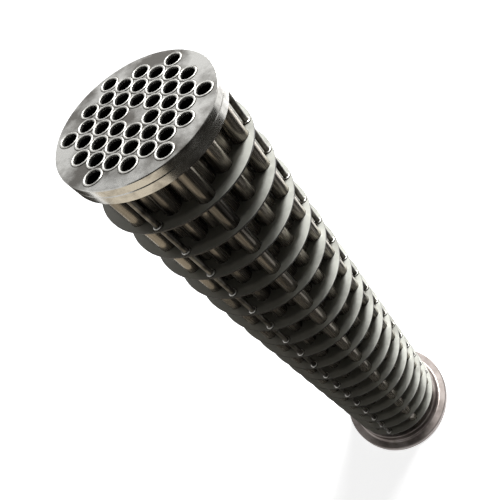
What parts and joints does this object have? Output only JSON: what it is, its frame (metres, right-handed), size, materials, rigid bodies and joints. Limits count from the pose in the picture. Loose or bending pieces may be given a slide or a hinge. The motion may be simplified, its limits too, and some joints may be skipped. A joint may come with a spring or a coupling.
{
  "type": "oil cooler core",
  "caption": "Tube bundle of a shell-and-tube oil cooler: straight tubes between a round front plate and a flanged rear plate, with thin round baffles on three tie rods.",
  "frame": {"origin": "centre of the rear plate's rear face, which it stands on", "axes": "+Z along the tubes from the flanged rear plate to the front plate, +X along the rows of tubes"},
  "size_m": [0.132, 0.132, 0.5472],
  "materials": {
    "plate_steel": "fine turned, satin",
    "weld_steel": "bright weld bead",
    "baffle_steel": "rolled sheet, satin",
    "tube_steel": "drawn, bright",
    "rod_steel": "drawn, bright"
  },
  "bodies": {
    "root": {"baffle_01": "baffle_steel", "baffle_02": "baffle_steel", "baffle_03": "baffle_steel", "baffle_04": "baffle_steel", "baffle_05": "baffle_steel", "baffle_06": "baffle_steel", "baffle_07": "baffle_steel", "baffle_08": "baffle_steel", "baffle_09": "baffle_steel", "baffle_10": "baffle_steel", "baffle_11": "baffle_steel", "baffle_12": "baffle_steel", "baffle_13": "baffle_steel", "baffle_14": "baffle_steel", "baffle_15": "baffle_steel", "baffle_16": "baffle_steel", "baffle_17": "baffle_steel", "flange_weld": "weld_steel", "front_tube_plate": "plate_steel", "front_tube_welds": "weld_steel", "rear_flange": "plate_steel", "rear_tube_plate": "plate_steel", "rear_tube_welds": "weld_steel", "tie_rod_1": "rod_steel", "tie_rod_2": "rod_steel", "tie_rod_3": "rod_steel", "tube_row_1": "tube_steel", "tube_row_2": "tube_steel", "tube_row_3": "tube_steel", "tube_row_4": "tube_steel", "tube_row_5": "tube_steel", "tube_row_6": "tube_steel", "tube_row_7": "tube_steel", "tube_row_8": "tube_steel", "tube_row_9": "tube_steel", "welds_on_rod_1": "weld_steel", "welds_on_rod_2": "weld_steel", "welds_on_rod_3": "weld_steel"}
  },
  "joints": []
}
